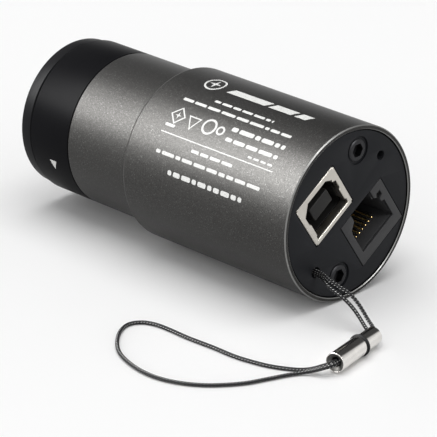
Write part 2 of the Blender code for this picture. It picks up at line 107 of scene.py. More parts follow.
# Cord and bead in millimetres. The lay is how many turns a strand makes over one girth of length
CORD_DIAMETER = 0.75
CORD_STRANDS = 4
CORD_LAY = 0.9
CORD_PAIR = 0.43
BEAD_REAR = Vector((-55.5, 11.5, 2.2))
BEAD_FRONT = Vector((-58.4, 25.5, 2.2))
BEAD_LENGTH = (BEAD_FRONT - BEAD_REAR).length
BEAD_DIRECTION = (BEAD_FRONT - BEAD_REAR).normalized()

# Lanyard route, repeated from the CAD source, in millimetres
UPPER_STRAND = [
    (-34.6, 8.74, 8.52), (-36.6, 8.74, 8.52), (-38.6, 8.85, 8.5), (-40.2, 9.05, 8.42),
    (-42.4, 9.6, 8.1), (-45.1, 9.25, 7.3), (-46.6, 8.8, 6.55), (-48.2, 8.5, 5.3),
    (-49.6, 8.4, 3.9), (-51.0, 8.65, 2.85), (-52.7, 9.3, 2.3), (-54.2, 10.05, 2.0),
]
LOWER_STRAND = [
    (-34.6, 8.74, 7.66), (-36.6, 8.74, 7.66), (-38.4, 8.76, 7.66), (-39.8, 8.96, 7.62),
    (-41.2, 9.6, 7.45), (-42.6, 10.15, 7.2), (-45.2, 10.15, 6.35), (-46.7, 9.75, 5.4),
    (-48.1, 9.4, 4.2), (-49.4, 9.3, 3.0), (-50.6, 9.5, 2.15), (-51.9, 10.05, 1.75),
    (-53.3, 10.75, 1.75),
]
LOOP_START = [
    (-57.75, 26.5, 2.1), (-57.0, 27.25, 1.75), (-55.95, 27.85, 1.2), (-54.7, 28.55, 0.7),
]
WRIST_LOOP = [
    (-53.2, 29.5, 0.45), (-51.5, 30.6, 0.42), (-49.2, 31.8, 0.42), (-46.6, 32.7, 0.42),
    (-41.6, 33.7, 0.42), (-35.6, 33.9, 0.42), (-29.8, 34.3, 0.42), (-24.5, 34.3, 0.42),
    (-21.1, 34.6, 0.42), (-18.6, 35.8, 0.42), (-17.5, 38.3, 0.42), (-18.9, 41.7, 0.42),
    (-22.2, 45.4, 0.42), (-26.0, 48.0, 0.42), (-31.0, 49.6, 0.42), (-35.7, 50.0, 0.42),
    (-39.9, 49.2, 0.42), (-43.9, 47.2, 0.42), (-47.1, 44.4, 0.42), (-50.1, 40.3, 0.42),
    (-51.9, 36.0, 0.42), (-53.1, 32.9, 0.42), (-54.2, 30.7, 0.45),
]
LOOP_END = [
    (-55.4, 29.35, 0.7), (-56.7, 28.5, 1.2), (-57.85, 27.85, 1.75), (-58.6, 27.0, 2.1),
]

# Camera of the reference view: metres, degrees and millimetres
CAMERA_PLACE = Vector((-0.38237, 0.37773, 0.23648))
CAMERA_DOWN = 23.30
CAMERA_HEADING = 44.88
CAMERA_LENS = 242.84


# ---- shader helpers

class Shader:
    """A Principled material with short calls for the nodes that feed it."""

    def __init__(self, name, colour, roughness, metallic=0.0, **sockets):
        self.material = bpy.data.materials.new(name)
        self.material.use_nodes = True
        self.tree = self.material.node_tree
        self.principled = self.tree.nodes["Principled BSDF"]
        self.value("Base Color", (*colour, 1.0))
        self.value("Roughness", roughness)
        self.value("Metallic", metallic)
        for socket, amount in sockets.items():
            self.value(socket.replace("_", " "), amount)
        self.place = self.node("ShaderNodeTexCoord").outputs["Object"]

    def value(self, socket, amount):
        self.principled.inputs[socket].default_value = amount

    def node(self, kind, **settings):
        made = self.tree.nodes.new(kind)
        for key, amount in settings.items():
            setattr(made, key, amount)
        return made

    def link(self, source, target):
        self.tree.links.new(source, target)

    def stretched(self, scale):
        mapping = self.node("ShaderNodeMapping")
        mapping.inputs["Scale"].default_value = scale
        self.link(self.place, mapping.inputs["Vector"])
        return mapping.outputs["Vector"]

    def noise(self, scale, detail, place=None):
        made = self.node("ShaderNodeTexNoise")
        made.inputs["Scale"].default_value = scale
        made.inputs["Detail"].default_value = detail
        self.link(place or self.place, made.inputs["Vector"])
        return made.outputs["Fac"]

    def cells(self, scale):
        """Random value in each small cell, for flakes and grains."""
        made = self.node("ShaderNodeTexVoronoi")
        made.inputs["Scale"].default_value = scale
        self.link(self.place, made.inputs["Vector"])
        split = self.node("ShaderNodeSeparateColor")
        self.link(made.outputs["Color"], split.inputs["Color"])
        return split.outputs["Red"]

    def ramp(self, source, *stops):
        """Colour ramp from (position, colour) stops."""
        made = self.node("ShaderNodeValToRGB")
        elements = made.color_ramp.elements
        while len(elements) < len(stops):
            elements.new(1.0)
        for element, (position, colour) in zip(elements, stops):
            element.position = position
            element.color = (*colour, 1.0)
        self.link(source, made.inputs["Fac"])
        return made.outputs["Color"]

    def spread(self, source, low, high):
        """Map a 0 to 1 value to a range."""
        made = self.node("ShaderNodeMapRange")
        made.inputs["To Min"].default_value = low
        made.inputs["To Max"].default_value = high
        self.link(source, made.inputs["Value"])
        return made.outputs["Result"]

    def math(self, operation, *sources):
        made = self.node("ShaderNodeMath", operation=operation)
        for target, source in zip(made.inputs, sources):
            if isinstance(source, float):
                target.default_value = source
            else:
                self.link(source, target)
        return made.outputs["Value"]

    def mixed(self, factor, first, second, blend="MIX"):
        made = self.node("ShaderNodeMix", data_type="RGBA", blend_type=blend)
        for key, source in (("Factor", factor), ("A", first), ("B", second)):
            target = next(s for s in made.inputs if s.name == key and s.enabled)
            if isinstance(source, tuple):
                target.default_value = (*source, 1.0)
            elif isinstance(source, float):
                target.default_value = source
            else:
                self.link(source, target)
        return next(s for s in made.outputs if s.enabled)

    def colour(self, source):
        self.link(source, self.principled.inputs["Base Color"])

    def roughness(self, source):
        self.link(source, self.principled.inputs["Roughness"])

    def bump(self, source, depth, strength, before=None):
        made = self.node("ShaderNodeBump")
        made.inputs["Distance"].default_value = depth
        made.inputs["Strength"].default_value = strength
        self.link(source, made.inputs["Height"])
        if before:
            self.link(before, made.inputs["Normal"])
        self.link(made.outputs["Normal"], self.principled.inputs["Normal"])
        return made.outputs["Normal"]


def shaded(colour, factor):
    """A colour made darker or lighter, with no part of it past white."""
    return tuple(min(1.0, factor * part) for part in colour)


def gunmetal():
    """Metallic grey paint with fine flakes under a satin lacquer."""
    s = Shader("gunmetal_paint", (0.042, 0.042, 0.041), 0.42, 1.0)
    cloud = s.noise(70.0, 2.0)
    grain = s.noise(6200.0, 2.0)
    base = s.ramp(grain, (0.36, (0.027, 0.0265, 0.0257)), (0.64, (0.052, 0.051, 0.049)))
    flakes = s.ramp(s.cells(7600.0), (0.93, (0.0, 0.0, 0.0)), (0.99, (1.0, 1.0, 1.0)))
    flaked = s.mixed(flakes, base, (0.088, 0.087, 0.085))
    shade = s.ramp(cloud, (0.25, (0.94, 0.94, 0.94)), (0.75, (1.0, 1.0, 1.0)))
    s.colour(s.mixed(1.0, flaked, shade, "MULTIPLY"))
    s.roughness(s.spread(grain, 0.38, 0.48))
    s.bump(grain, 0.010 * MM, 0.5)
    return s.material


def turned_black(name, colour, roughness, gloss):
    """Black anodised metal with the faint rings that turning leaves."""
    s = Shader(name, colour, roughness, 0.0, Specular_IOR_Level=gloss)
    rings = s.noise(1.0, 3.0, s.stretched((9000.0, 120.0, 120.0)))
    dust = s.noise(3800.0, 2.0)
    s.colour(s.mixed(rings, shaded(colour, 0.7), shaded(colour, 1.5)))
    s.roughness(s.spread(rings, roughness - 0.05, roughness + 0.06))
    first = s.bump(rings, 0.004 * MM, 0.35)
    s.bump(dust, 0.004 * MM, 0.25, first)
    return s.material


def moulded(name, colour, roughness, grain_scale=2600.0, depth=0.012, gloss=0.3):
    """Moulded plastic, rubber or ceramic with a fine eroded grain."""
    s = Shader(name, colour, roughness, 0.0, Specular_IOR_Level=gloss)
    grain = s.noise(grain_scale, 4.0)
    cloud = s.noise(160.0, 2.0)
    s.colour(s.mixed(cloud, shaded(colour, 0.82), shaded(colour, 1.2)))
    s.roughness(s.spread(grain, roughness - 0.07, roughness + 0.07))
    s.bump(grain, depth * MM, 0.5)
    return s.material


def plated(name, colour, roughness, stroke=(900.0, 60.0, 900.0), depth=0.002):
    """Plated metal with fine strokes, small stains and a soft change of gloss."""
    s = Shader(name, colour, roughness, 1.0)
    strokes = s.noise(1.0, 4.0, s.stretched(stroke))
    stain = s.noise(450.0, 3.0)
    s.colour(s.mixed(stain, shaded(colour, 0.86), shaded(colour, 1.06)))
    s.roughness(s.spread(strokes, roughness * 0.75, roughness * 1.35))
    s.bump(strokes, depth * MM, 0.4)
    return s.material


def braided():
    """Dark braid worked out from the UV map: crossing strands, with a pale fleck where one is on top and
    painted shade in the valleys between them.
    """
    s = Shader("braided_cord", (0.018, 0.018, 0.019), 0.75, 0.0, Specular_IOR_Level=0.15)
    split = s.node("ShaderNodeSeparateXYZ")
    s.link(s.node("ShaderNodeTexCoord").outputs["UV"], split.inputs["Vector"])
    around = split.outputs["X"]
    along = s.math("MULTIPLY", split.outputs["Y"], CORD_LAY)
    left = s.math("MULTIPLY", s.math("ADD", around, along), CORD_STRANDS * math.pi)
    right = s.math("MULTIPLY", s.math("SUBTRACT", around, along), CORD_STRANDS * math.pi)
    over = s.math("MULTIPLY", s.math("SINE", left), s.math("SINE", right))
    up = s.math("SINE", s.math("MULTIPLY", left, 2.0))
    down = s.math("SINE", s.math("MULTIPLY", right, 2.0))
    fleck = s.math("MULTIPLY", s.math("GREATER_THAN", over, 0.35), s.math("GREATER_THAN", up, 0.55))
    height = s.math("MAXIMUM", up, down)
    fibre = s.noise(9000.0, 2.0)
    dark = s.mixed(fibre, (0.003, 0.003, 0.0035), (0.012, 0.012, 0.013))
    flecked = s.mixed(fleck, dark, (0.25, 0.25, 0.245))
    # painted shade: the colour is darkened where the strands dip, for the shade that falls in the valleys
    # of the braid
    painted_valley_shade = s.ramp(height, (0.0, (0.25, 0.25, 0.25)), (0.55, (1.0, 1.0, 1.0)))
    s.colour(s.mixed(1.0, flecked, painted_valley_shade, "MULTIPLY"))
    first = s.bump(height, 0.03 * MM, 0.5)
    s.bump(fibre, 0.008 * MM, 0.4, first)
    return s.material


def printed_ink():
    """Matt white ink with small grey gaps in it."""
    s = Shader("white_print", (0.235, 0.235, 0.23), 0.5, 0.0, Specular_IOR_Level=0.2)
    grain = s.noise(4200.0, 3.0)
    s.colour(s.ramp(grain, (0.30, (0.155, 0.155, 0.15)), (0.50, (0.235, 0.235, 0.23))))
    s.bump(grain, 0.004 * MM, 0.4)
    return s.material


def coated_glass():
    """Glass with the faint violet and green cast of its coating."""
    s = Shader("coated_glass", (0.96, 0.99, 0.98), 0.03, 0.0, Transmission_Weight=1.0, IOR=1.52)
    film = s.noise(55.0, 2.0)
    s.colour(s.ramp(film, (0.35, (0.90, 0.98, 0.94)), (0.65, (0.95, 0.92, 1.0))))
    s.roughness(s.spread(s.noise(900.0, 2.0), 0.02, 0.06))
    return s.material


def circuit_board():
    """Green solder mask over copper runs."""
    s = Shader("solder_mask", (0.012, 0.10, 0.045), 0.38)
    runs = s.node("ShaderNodeTexBrick")
    runs.inputs["Scale"].default_value = 420.0
    runs.inputs["Mortar Size"].default_value = 0.06
    runs.inputs["Color1"].default_value = (0.010, 0.085, 0.038, 1.0)
    runs.inputs["Color2"].default_value = (0.014, 0.115, 0.052, 1.0)
    runs.inputs["Mortar"].default_value = (0.05, 0.22, 0.10, 1.0)
    s.link(s.stretched((0.6, 1.0, 1.0)), runs.inputs["Vector"])
    s.colour(s.mixed(s.noise(900.0, 2.0), runs.outputs["Color"], (0.012, 0.09, 0.04)))
    s.bump(runs.outputs["Fac"], 0.01 * MM, 0.5)
    return s.material


def silicon_die():
    """Sensor silicon: dark blue with a fine pixel grid."""
    s = Shader("silicon_die", (0.05, 0.06, 0.10), 0.16, 0.85)
    grid = s.node("ShaderNodeTexChecker")
    grid.inputs["Scale"].default_value = 9000.0
    grid.inputs["Color1"].default_value = (0.045, 0.05, 0.10, 1.0)
    grid.inputs["Color2"].default_value = (0.09, 0.10, 0.16, 1.0)
    s.link(s.place, grid.inputs["Vector"])
    s.colour(s.mixed(s.noise(260.0, 2.0), grid.outputs["Color"], (0.10, 0.06, 0.12)))
    return s.material


MATERIALS = {
    "body_paint": gunmetal(),
    "black_metal": turned_black("black_anodised", (0.0014, 0.0014, 0.0017), 0.36, 0.024),
    "black_satin": turned_black("black_cap", (0.0026, 0.0026, 0.0030), 0.36, 0.055),
    "black_plate": moulded("plate_plastic", (0.0068, 0.0072, 0.0084), 0.52, gloss=0.10),
    "black_steel": plated("black_oxide_steel", (0.034, 0.034, 0.036), 0.42),
    "nickel": plated("nickel_plate", (0.53, 0.505, 0.46), 0.32),
    "bead_nickel": plated("bead_nickel", (0.76, 0.74, 0.71), 0.12, (1500.0, 90.0, 1500.0), 0.0008),
    # painted shade: a darker copy of the nickel, rougher too, for the cone inside the bead's mouth
    "bead_mouth": plated("bead_mouth", (0.15, 0.147, 0.14), 0.40),
    "bare_edge": plated("bare_edge", (0.21, 0.21, 0.205), 0.38),
    "port_plastic": moulded("port_plastic", (0.022, 0.022, 0.023), 0.46, 3200.0, 0.008, 0.2),
    # painted shade: a darker copy of the port plastic, for the tongue, liner, back and combs deep inside
    # the ports
    "port_plastic_painted_shade": moulded("port_plastic_painted_shade", (0.009, 0.0088, 0.0084), 0.44, 3200.0, 0.008, 0.15),
    # painted light: a lighter copy of the port plastic, so the throat walls of the jack look lit
    "port_plastic_painted_light": moulded("port_plastic_painted_light", (0.028, 0.028, 0.029), 0.46, 3200.0, 0.008, 0.2),
    "gold": plated("gold_contact", (0.90, 0.64, 0.28), 0.34),
    "cord": braided(),
    "rubber": moulded("rubber", (0.008, 0.008, 0.0085), 0.58, 1800.0, 0.01, 0.15),
    "board": circuit_board(),
    "brass": plated("turned_brass", (0.78, 0.56, 0.27), 0.30),
    "chip": moulded("chip_package", (0.022, 0.022, 0.024), 0.55, 4200.0, 0.006),
    "ceramic": moulded("sensor_ceramic", (0.36, 0.31, 0.25), 0.60, 3000.0, 0.006),
    "silicon": silicon_die(),
    "glass": coated_glass(),
    "light": moulded("smoked_light_pipe", (0.030, 0.012, 0.010), 0.30, 900.0, 0.002),
}
INK = printed_ink()


# ---- mesh helpers

def station(x_mm):
    """X coordinate of a distance in millimetres ahead of the rear rim."""
    return REAR_X + x_mm * MM


def centre_of(node):
    low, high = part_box(node)
    return (low + high) / 2


def placed_on(node, roll=0.0):
    """Placement on the centre of a CAD node in the rear plate, turned about the optical axis."""
    centre = centre_of(node)
    return Matrix.Translation((0.0, centre.y, centre.z)) @ Matrix.Rotation(math.radians(roll), 4, "X")


def linked(name, data):
    """New object in the scene for a mesh, a curve, a camera or a light."""
    made = bpy.data.objects.new(name, data)
    bpy.context.scene.collection.objects.link(made)
    return made


def evaluated_mesh(holder):
    """Mesh of an object with its modifiers or its curve's thickness worked out."""
    graph = bpy.context.evaluated_depsgraph_get()
    return bpy.data.meshes.new_from_object(holder.evaluated_get(graph))


def finish_piece(name, mesh_data, body, slot, node=None, look=None, sharp=SHARP_ANGLE):
    """Make an object from a bmesh, shade it, tie it to its body, give it its look or the material of its
    slot, and hide the CAD node it stands for.
    """
    mesh_data.normal_update()
    bmesh.ops.recalc_face_normals(mesh_data, faces=mesh_data.faces)
    mesh = bpy.data.meshes.new(name)
    mesh_data.to_mesh(mesh)
    mesh_data.free()
    mesh.shade_smooth()
    mesh.set_sharp_from_angle(angle=math.radians(sharp))
    mesh.materials.append(look or MATERIALS[slot])
    piece = linked(name, mesh)
    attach(piece, body)
    if node:
        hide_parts(node)
    return piece


def filleted(points, closed=False, steps=4):
    """Round the corners of an outline of (x, y, radius) points."""
    result = []
    count = len(points)
    for index, (x, y, radius) in enumerate(points):
        corner = Vector((x, y))
        end = not closed and index in (0, count - 1)
        if radius <= 0 or end:
            result.append(corner)
            continue
        before = Vector(points[index - 1][:2]) - corner
        after = Vector(points[(index + 1) % count][:2]) - corner
        turn = before.angle(after)
        reach = min(radius / math.tan(turn / 2), 0.49 * before.length, 0.49 * after.length)
        first = corner + before.normalized() * reach
        last = corner + after.normalized() * reach
        for step in range(steps + 1):
            t = step / steps
            result.append(first * (1 - t) ** 2 + corner * 2 * t * (1 - t) + last * t ** 2)
    return result


def skin(mesh_data, rings):
    """Faces between each ring of points and the next."""
    for near, far in zip(rings, rings[1:]):
        for index in range(len(near)):
            after = (index + 1) % len(near)
            mesh_data.faces.new((near[index], near[after], far[after], far[index]))


def lathe_mesh(outline, facets, place):
    """Turn (x, radius) points about the X axis. Ends on the axis make a solid, others a ring."""
    solid = outline[0][1] < 1e-9 and outline[-1][1] < 1e-9
    points = outline[1:-1] if solid else outline
    mesh_data = bmesh.new()
    rings = []
    for x, radius in points:
        ring = []
        for index in range(facets):
            angle = 2 * math.pi * index / facets
            ring.append(mesh_data.verts.new((x, radius * math.cos(angle), radius * math.sin(angle))))
        rings.append(ring)
    skin(mesh_data, rings if solid else rings + rings[:1])
    if solid:
        for ring, end in ((rings[0], outline[0]), (rings[-1], outline[-1])):
            hub = mesh_data.verts.new((end[0], 0.0, 0.0))
            for index in range(facets):
                mesh_data.faces.new((ring[index], ring[(index + 1) % facets], hub))
    mesh_data.transform(place)
    return mesh_data


def turned(outline, closed=True, facets=OUTER_FACETS, place=ON_AXIS, steps=4):
    """Turn an outline of (station, radius, fillet) points in millimetres about the X axis."""
    rounded = filleted(outline, closed, steps)
    return lathe_mesh([(station(x), radius * MM) for x, radius in rounded], facets, place)


def thread(start, end, root, crest, pitch=THREAD_PITCH):
    """Rings of a cut thread between two stations, as (station, radius, fillet) points."""
    turns = int((end - start) / pitch)
    points = []
    for turn in range(turns):
        x = start + turn * pitch
        points += [(x, root, 0.0), (x + 0.42 * pitch, crest, 0.0), (x + 0.58 * pitch, crest, 0.0)]
    return points + [(start + turns * pitch, root, 0.0)]


def circle(radius, u, v, count):
    turns = [2 * math.pi * index / count for index in range(count)]
    return [(u + radius * math.cos(t), v + radius * math.sin(t)) for t in turns]


def sheet_mesh(loops, rear, front, bevel, place):
    """Plate along X from flat loops in millimetres, holes included, with softly rounded edges."""
    data = bpy.data.curves.new("sheet", "CURVE")
    data.dimensions = "2D"
    data.fill_mode = "BOTH"
    data.extrude = ((front - rear) / 2 - bevel) * MM
    data.bevel_depth = bevel * MM
    data.bevel_resolution = 2
    data.offset = -bevel * MM
    for loop in loops:
        spline = data.splines.new("POLY")
        spline.use_cyclic_u = True
        spline.points.add(len(loop) - 1)
        for target, (u, v) in zip(spline.points, loop):
            target.co = (u * MM, v * MM, 0.0, 1.0)
    holder = linked("sheet", data)
    mesh = evaluated_mesh(holder)
    mesh_data = bmesh.new()
    mesh_data.from_mesh(mesh)
    bpy.data.objects.remove(holder)
    bpy.data.meshes.remove(mesh)
    bmesh.ops.remove_doubles(mesh_data, verts=mesh_data.verts, dist=1e-7)
    # the curve's own X, Y and Z become width, height and the direction along the optical axis
    turn = Matrix(((0, 0, 1, 0), (1, 0, 0, 0), (0, 1, 0, 0), (0, 0, 0, 1)))
    middle = Matrix.Translation((station((rear + front) / 2), 0.0, 0.0))
    mesh_data.transform(place @ middle @ turn)
    return mesh_data


def joined(*parts):
    """Gather several bmeshes into the first one."""
    whole = parts[0]
    for part in parts[1:]:
        held = bpy.data.meshes.new("held")
        part.to_mesh(held)
        part.free()
        whole.from_mesh(held)
        bpy.data.meshes.remove(held)
    return whole


def subtract(piece, mesh_data):
    """Cut a closed bmesh out of a piece and keep the result as its mesh."""
    mesh = bpy.data.meshes.new("cutter")
    bmesh.ops.recalc_face_normals(mesh_data, faces=mesh_data.faces)
    mesh_data.to_mesh(mesh)
    mesh_data.free()
    cutter = linked("cutter", mesh)
    modifier = piece.modifiers.new("cut", "BOOLEAN")
    modifier.operation = "DIFFERENCE"
    modifier.solver = "EXACT"
    modifier.object = cutter
    bpy.context.view_layer.update()
    cut = evaluated_mesh(piece)
    piece.modifiers.clear()
    piece.data = cut
    cleaned = bmesh.new()
    cleaned.from_mesh(cut)
    bmesh.ops.remove_doubles(cleaned, verts=cleaned.verts, dist=1e-6)
    cleaned.to_mesh(cut)
    cleaned.free()
    cut.shade_smooth()
    cut.set_sharp_from_angle(angle=math.radians(SHARP_ANGLE))
    bpy.data.objects.remove(cutter)


# ---- camera and cord

def make_camera():
    data = bpy.data.cameras.new("view")
    data.lens = CAMERA_LENS
    data.sensor_width = 36.0
    data.clip_start = 0.02
    data.clip_end = 20.0
    camera = linked("view", data)
    camera.location = CAMERA_PLACE
    camera.rotation_euler = (math.radians(90.0 - CAMERA_DOWN), 0.0, math.radians(-90.0 - CAMERA_HEADING))
    bpy.context.scene.camera = camera


def cord_route():
    """Points of the whole cord: in along one strand, round the loop and back along the other."""
    side = Vector((-BEAD_DIRECTION.y, BEAD_DIRECTION.x, 0.0)) * CORD_PAIR
    depths = (-0.2, 3.0, 7.2, 11.4, BEAD_LENGTH)
    left = [BEAD_REAR + BEAD_DIRECTION * depth + side for depth in depths]
    right = [BEAD_REAR + BEAD_DIRECTION * depth - side for depth in depths]
    route = [Vector(point) for point in LOWER_STRAND]
    route += right
    route += [Vector(point) for point in LOOP_START + WRIST_LOOP + LOOP_END]
    route += reversed(left)
    route += [Vector(point) for point in reversed(UPPER_STRAND)]
    return route


def smooth_points(route, step):
    """Read a smooth curve through the route, about one point for each step of its length."""
    ends = [2 * route[0] - route[1]] + route + [2 * route[-1] - route[-2]]
    points = [route[0]]
    for before, start, end, after in zip(ends, ends[1:], ends[2:], ends[3:]):
        pieces = max(1, round((end - start).length / step))
        for index in range(1, pieces + 1):
            t = index / pieces
            points.append(0.5 * (2 * start + (end - before) * t
                                 + (2 * before - 5 * start + 4 * end - after) * t * t
                                 + (3 * start - before - 3 * end + after) * t ** 3))
    return points


def make_cord():
    """Braided cord: a tube whose skin rises where one of its crossing strands lies on top."""
    sides = 24
    lift = 0.05
    step = 0.08
    inset = 0.01
    points = [point * MM for point in smooth_points(cord_route(), step)]
    radius = (CORD_DIAMETER / 2 - inset) * MM
    mesh_data = bmesh.new()
    side = Vector((0.0, 0.0, 1.0))
    travelled = [0.0]
    rings = []
    for index, point in enumerate(points):
        behind = points[max(index - 1, 0)]
        tangent = (points[min(index + 1, len(points) - 1)] - behind).normalized()
        side = (side - tangent * side.dot(tangent)).normalized()
        other = tangent.cross(side)
        travelled.append(travelled[-1] + (point - behind).length)
        lay = CORD_LAY * travelled[-1] / radius
        ring = []
        for count in range(sides):
            angle = 2 * math.pi * count / sides
            height = max(math.sin(CORD_STRANDS * (angle + lay)), math.sin(CORD_STRANDS * (angle - lay)))
            reach = radius * (1 - lift + lift * height)
            outward = side * math.cos(angle) + other * math.sin(angle)
            ring.append(mesh_data.verts.new(point + reach * outward))
        rings.append(ring)
    sheet = mesh_data.loops.layers.uv.new("braid")
    for index, (near, far) in enumerate(zip(rings, rings[1:])):
        low, high = (travelled[index + ahead] / (2 * math.pi * radius) for ahead in (1, 2))
        for count in range(sides):
            after = (count + 1) % sides
            face = mesh_data.faces.new((near[count], near[after], far[after], far[count]))
            left, right = count / sides, (count + 1) / sides
            for loop, spot in zip(face.loops, ((left, low), (right, low), (right, high), (left, high))):
                loop[sheet].uv = spot
    mesh_data.faces.new(rings[0])
    mesh_data.faces.new(rings[-1])
    cord = finish_piece("braided_lanyard", mesh_data, "housing", "cord", "lanyard_cord", sharp=60.0)
    length = sum((b - a).length for a, b in zip(points, points[1:]))
    return cord, points, length


def bead_place():
    """Placement that lays the X axis along the bead, from its rear end."""
    turn = BEAD_DIRECTION.to_track_quat("X", "Z").to_matrix().to_4x4()
    return Matrix.Translation(BEAD_REAR * MM) @ turn


def make_bead():
    """Polished sleeve, rubber collar and tail of the bead, with fillets and a machined mouth."""
    bead_facets = 96
    tail_r, collar_r, sleeve_r = 1.78, 2.17, 1.93
    bore_r, throat_r = 1.05, 0.90
    gap = 0.08
    tail_end = 0.36 * BEAD_LENGTH
    collar_start = tail_end + gap
    collar_end = tail_end + 0.75
    sleeve_start = collar_end + gap
    cone_start = collar_end + 0.2
    mouth = BEAD_LENGTH - 0.05
    shapes = {
        "bead_tail_polished": ("bead_tail", "nickel", "bead_nickel", [
            (0.25, 1.25, 0.05), (0.25, 1.45, 0.1), (0.5, tail_r, 0.25), (tail_end, tail_r, 0.08),
            (tail_end, bore_r, 0.0), (0.6, bore_r, 0.1)]),
        "bead_collar_ring": ("bead_collar", "rubber", "rubber", [
            (collar_start, 1.9, 0.1), (tail_end + 0.2, collar_r, 0.2), (collar_end - 0.1, collar_r, 0.2),
            (collar_end, 1.9, 0.1), (collar_end, bore_r, 0.0), (collar_start, bore_r, 0.0)]),
        "bead_sleeve_polished": ("bead_sleeve", "nickel", "bead_nickel", [
            (sleeve_start, sleeve_r, 0.1), (mouth, sleeve_r, 0.10), (mouth, 1.74, 0.05),
            (mouth - 0.11, 1.70, 0.0), (sleeve_start, 1.70, 0.0)]),
        # painted shade: the cone inside the mouth takes the darker copy of the nickel
        "bead_mouth_cone": (None, "nickel", "bead_mouth", [
            (mouth - 0.04, 1.71, 0.04), (mouth - 0.45, 0.98, 0.08), (mouth - 1.35, throat_r, 0.0),
            (cone_start, throat_r, 0.0), (cone_start, 1.68, 0.0), (mouth - 0.15, 1.68, 0.0)]),
    }
    pieces = []
    for name, (node, slot, look, outline) in shapes.items():
        rounded = filleted(outline, closed=True)
        mesh_data = lathe_mesh([(x * MM, r * MM) for x, r in rounded], bead_facets, bead_place())
        pieces.append(finish_piece(name, mesh_data, "housing", slot, node, MATERIALS[look]))
    return pieces


make_camera()
CORD, CORD_PATH, CORD_LENGTH = make_cord()
make_bead()


# ---- shell, nose and cap

def make_housing():
    """Painted shell with a soft shoulder, a bright-edged rear rim and a threaded neck."""
    round_length = 0.9
    round_drop = 0.7 * (BODY_R - BARREL_R)
    round_steps = 12
    shoulder = []
    for step in range(round_steps + 1):
        turn = math.pi / 2 * step / round_steps
        x = SHOULDER - round_length * (1 - math.sin(turn))
        shoulder.append((x, BODY_R - round_drop * (1 - math.cos(turn)), 0.0))
    chamfer = 0.21
    bore, inside, lip = 13.4, 15.7, 11.6
    outline = [
        (0.01, 16.72, 0.0), (0.01, BODY_R - chamfer, 0.0), (0.22, BODY_R - 0.005, 0.0),
        *shoulder, (SHOULDER, BARREL_R, 0.25),
        (BARREL_FRONT, BARREL_R, 0.12), (BARREL_FRONT, NECK_R, 0.0),
    ]
    outline += thread(61.6, NECK_FRONT, NECK_R - 0.42, NECK_R)
    outline += [
        (NECK_FRONT, NECK_R - 0.5, 0.0), (NECK_FRONT, bore, 0.1), (57.0, bore, 0.0), (57.0, lip, 0.08),
        (55.9, lip, 0.08), (55.9, 13.6, 0.0), (41.5, 13.6, 0.3), (39.7, inside, 0.3),
        (3.45, inside, 0.0), (3.45, RIM_SEAT_R, 0.0), (0.14, RIM_SEAT_R, 0.0),
    ]
    finish_piece("housing_shell", turned(outline, steps=6), "housing", "body_paint", "main_housing")
    edges = {
        "rim_outer_chamfer": [(0.0, BODY_R - chamfer, 0.0), (chamfer, BODY_R, 0.0),
                              (0.25, BODY_R - 0.05, 0.0), (0.05, BODY_R - 0.26, 0.0)],
        "rim_inner_chamfer": [(0.0, 16.73, 0.0), (0.05, 16.77, 0.0), (0.18, 16.64, 0.0),
                              (0.13, 16.59, 0.0)],
    }
    for name, edge in edges.items():
        finish_piece(name, turned(edge), "housing", "body_paint", look=MATERIALS["bare_edge"])


def make_nose_ring():
    """Black nose ring, with the C thread in its bore and the thread that holds it on the neck."""
    rear, front = stations_of("nose_ring")
    bore, thread_crest, thread_root, socket = 12.72, 14.60, 14.86, 15.45
    outline = [
        (rear, BARREL_R - 0.12, 0.05), (rear + 0.14, BARREL_R, 0.06), (front - 0.22, BARREL_R, 0.08),
        (front, BARREL_R - 0.22, 0.08), (front, 12.95, 0.08), (front - 0.25, bore, 0.0),
    ]
    outline += reversed(thread(66.9, front - 0.6, 13.05, bore, C_THREAD_PITCH))
    outline.append((66.45, bore, 0.0))
    outline += reversed(thread(62.7, 66.45, thread_root, thread_crest))
    outline += [
        (62.55, thread_crest, 0.0), (62.35, thread_crest, 0.0), (62.35, socket, 0.0), (rear, socket, 0.0),
    ]
    finish_piece("nose_ring_turned", turned(outline), "nose_ring", "black_metal", "nose_ring")


def make_cap():
    """Black push-in cap: a shallow dished front, a flange against the ring and a hollow plug."""
    front = stations_of("dust_cap")[1]
    flange, plug_rear, plug_floor = 72.9, 68.95, 73.9
    plug_r, plug_bore = 12.3, 11.15
    outline = [
        (plug_floor, 0.0, 0.0), (plug_floor, plug_bore, 0.3), (plug_rear, plug_bore, 0.1),
        (plug_rear, plug_r, 0.25), (flange, plug_r, 0.15), (flange, CAP_R - 0.42, 0.06),
        (flange + 0.42, CAP_R, 0.08), (front - 0.25, CAP_R, 0.25), (front, CAP_R - 0.5, 0.25),
        (front, 12.6, 0.15), (front - 0.45, 12.1, 0.25), (front - 0.45, 3.0, 0.3),
        (front - 0.2, 2.4, 0.2), (front - 0.2, 0.0, 0.0),
    ]
    finish_piece("dust_cap_turned", turned(outline, closed=False), "cap", "black_satin", "dust_cap")


def on_shell(x_mm, arc_mm, angle, radius):
    """Point on the shell: a station, and a distance round from an angle, all in millimetres."""
    turn = math.radians(angle) + arc_mm / radius
    reach = radius * MM
    return Vector((station(x_mm), reach * math.cos(turn), AXIS_Z + reach * math.sin(turn)))


